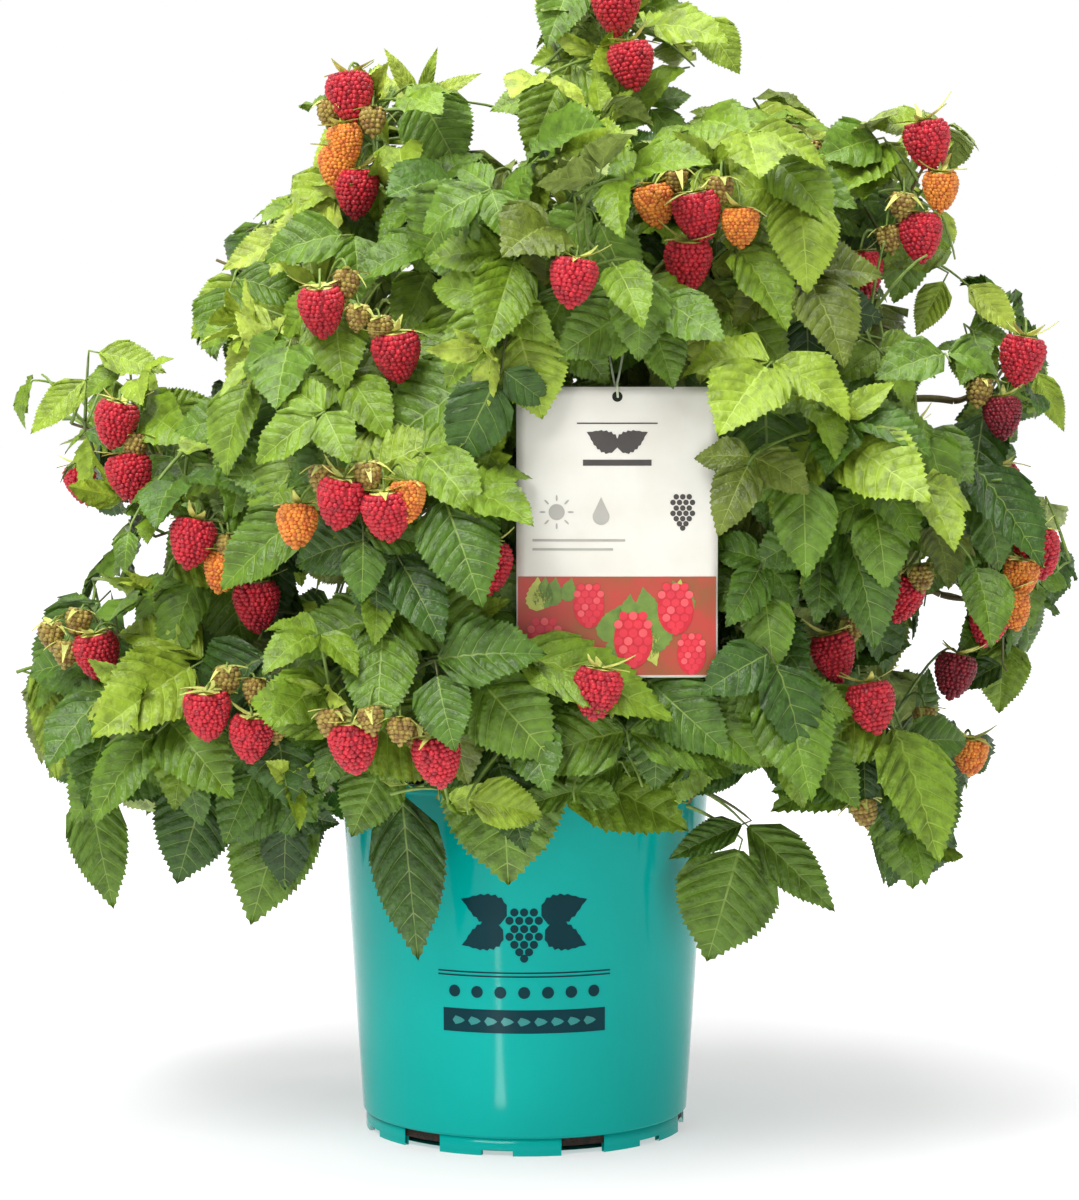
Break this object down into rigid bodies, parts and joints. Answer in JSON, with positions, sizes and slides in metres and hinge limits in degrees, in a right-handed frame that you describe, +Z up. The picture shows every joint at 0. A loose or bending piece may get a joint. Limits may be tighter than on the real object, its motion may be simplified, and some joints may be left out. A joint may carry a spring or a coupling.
{
  "type": "raspberry cane in a pot",
  "caption": "Bushy fruiting raspberry plant with arching canes and toothed three-part leaves, in a tapered nursery pot of compost, with a blank hang tag wired to its front cane.",
  "frame": {"origin": "centre of the pot's underside, on the surface it stands on", "axes": "+Z up; -Y is the front, the side with the hang tag; +X to the viewer's right"},
  "size_m": [0.5922, 0.5259, 0.6296],
  "materials": {
    "pot": "glossy thin-walled plastic",
    "compost": "rough damp compost",
    "cane": "dull green-brown bark",
    "foliage": "soft veined leaves with red fruit among them",
    "tag": "satin coated card",
    "wire": "thin plastic-coated wire"
  },
  "bodies": {
    "root": {"cane_arm_left": "cane", "cane_back": "cane", "cane_back_left": "cane", "cane_back_right": "cane", "cane_crest_right": "cane", "cane_far_right": "cane", "cane_far_right_low": "cane", "cane_front": "cane", "cane_front_left": "cane", "cane_front_right": "cane", "cane_low_left": "cane", "cane_low_right": "cane", "cane_shoulder_left": "cane", "cane_shoulder_right": "cane", "cane_top": "cane", "compost": "compost", "hang_tag": "tag", "leaves_arm_left": "foliage", "leaves_back_left": "foliage", "leaves_back_low": "foliage", "leaves_back_low_left": "foliage", "leaves_back_low_right": "foliage", "leaves_back_middle": "foliage", "leaves_back_right": "foliage", "leaves_back_top": "foliage", "leaves_back_upper_left": "foliage", "leaves_back_upper_right": "foliage", "leaves_breast_left": "foliage", "leaves_crest_left": "foliage", "leaves_crest_right": "foliage", "leaves_far_right": "foliage", "leaves_far_right_low": "foliage", "leaves_flank_left": "foliage", "leaves_flank_right": "foliage", "leaves_front_left": "foliage", "leaves_front_low_left": "foliage", "leaves_front_right": "foliage", "leaves_front_top": "foliage", "leaves_hanging_right": "foliage", "leaves_heart": "foliage", "leaves_light_right": "foliage", "leaves_low_left": "foliage", "leaves_low_left_outer": "foliage", "leaves_low_right": "foliage", "leaves_rim_front": "foliage", "leaves_rim_left": "foliage", "leaves_rim_right": "foliage", "leaves_shoulder_left": "foliage", "leaves_shoulder_right": "foliage", "leaves_skirt_right": "foliage", "leaves_top": "foliage", "leaves_upper_left": "foliage", "leaves_upper_right": "foliage", "pot": "pot", "tag_tie": "wire"}
  },
  "joints": []
}
